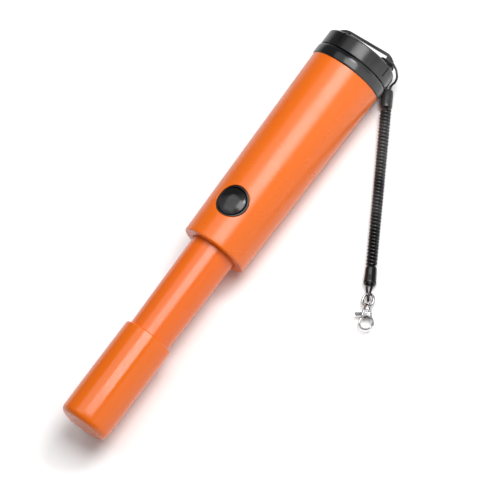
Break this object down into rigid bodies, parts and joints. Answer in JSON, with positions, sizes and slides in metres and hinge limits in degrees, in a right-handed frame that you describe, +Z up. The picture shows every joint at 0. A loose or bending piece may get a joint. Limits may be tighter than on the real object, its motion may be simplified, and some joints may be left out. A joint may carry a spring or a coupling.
{
  "type": "pinpointer probe",
  "caption": "Handheld pinpointing metal detector with a tapered grip, thin search tube, sleeved tip, push button, screw cap and coiled lanyard with a swivel clasp.",
  "frame": {"origin": "middle of the probe's own box on the plane it lies on, lanyard not counted", "axes": "+X along the probe from the tip to the cap, +Z up and out of the push button, +Y to the side away from the lanyard"},
  "size_m": [0.24, 0.1053, 0.04],
  "materials": {
    "orange_housing": "satin-gloss moulded plastic",
    "orange_tube": "satin-gloss moulded plastic",
    "orange_gloss": "gloss moulded plastic",
    "black_gloss": "gloss moulded plastic",
    "button_black": "gloss",
    "black_cap": "fine satin",
    "seal_rubber": "matt",
    "inner_black": "matt",
    "inner_white": "matt",
    "spring_steel": "bright",
    "clasp_chrome": "polished plating",
    "can_aluminium": "satin",
    "brass_part": "satin",
    "circuit_board": "solder mask",
    "cell_wrap": "shrink film",
    "wire_red": "insulation",
    "ferrite": "matt",
    "winding_copper": "enamelled copper wire",
    "cord_black": "soft polyurethane",
    "ferrule_black": "satin"
  },
  "bodies": {
    "handle": {"handle_shell": "orange_housing", "probe_tube": "orange_tube", "tip_sleeve": "orange_gloss", "button_bezel": "black_gloss", "button_spring": "spring_steel", "button_seal": "seal_rubber", "tact_switch": "inner_black", "main_board": "circuit_board", "board_chips": "inner_black", "board_capacitors": "can_aluminium", "buzzer": "inner_black", "motor_can": "can_aluminium", "motor_clip": "inner_black", "battery_cell": "cell_wrap", "battery_cradle": "inner_black", "battery_tabs": "spring_steel", "battery_wires": "wire_red", "ferrite_rod": "ferrite", "coil_bobbin": "inner_white", "search_winding": "winding_copper", "coil_leads": "wire_red", "end_collar": "black_gloss", "port_bulkhead": "inner_black", "bulkhead_screws": "spring_steel", "bulkhead_gasket": "seal_rubber", "usb_port": "clasp_chrome", "port_board": "circuit_board", "port_wires": "wire_red", "charge_led": "inner_white"},
    "button": {"button_cap": "button_black", "tact_plunger": "brass_part"},
    "motor_rotor": {"eccentric_weight": "brass_part"},
    "lanyard": {"upper_loop": "cord_black", "upper_ferrule": "ferrule_black", "coil_tether": "cord_black", "lower_ferrule": "ferrule_black", "lower_loop": "cord_black", "swivel_eye": "clasp_chrome"},
    "cap": {"screw_cap": "black_cap", "cap_o_ring": "seal_rubber"},
    "clasp": {"clasp_body": "clasp_chrome", "trigger_pin": "clasp_chrome", "trigger_spring": "spring_steel"},
    "trigger": {"trigger_lever": "clasp_chrome"}
  },
  "joints": [
    {"name": "button_press", "type": "slide", "parent": "handle", "child": "button", "axis": [0, 0, -1], "range_m": [0, 0.0005], "stiffness_N_per_m": 2000, "springref_m": -0.0003, "deforming": ["button_spring"]},
    {"name": "motor_spin", "type": "hinge", "parent": "handle", "child": "motor_rotor", "pos_m": [0.012, 0, 0.018], "axis": [1, 0, 0], "continuous": true},
    {"name": "cap_lift", "type": "slide", "parent": "handle", "child": "lanyard", "axis": [1, 0, 0], "range_m": [0, 0.006]},
    {"name": "cap_turn", "type": "hinge", "parent": "lanyard", "child": "cap", "pos_m": [0.108, 0, 0.02], "axis": [1, 0, 0], "range_deg": [0, 1080], "deforming": ["upper_loop"]},
    {"name": "swivel_spin", "type": "hinge", "parent": "lanyard", "child": "clasp", "pos_m": [0.00804, -0.07752, 0.0033], "axis": [-0.8499, -0.527, 0], "continuous": true},
    {"name": "trigger_pull", "type": "hinge", "parent": "clasp", "child": "trigger", "pos_m": [0.00574, -0.07894, 0.0033], "axis": [0, 0, -1], "range_deg": [0, 22], "stiffness_Nm_per_rad": 0.004, "springref_deg": -17.19, "deforming": ["trigger_spring"]}
  ],
  "couplings": [
    {"joint": "cap_lift", "follows": "cap_turn", "m_per_rad": 0.0003183}
  ]
}
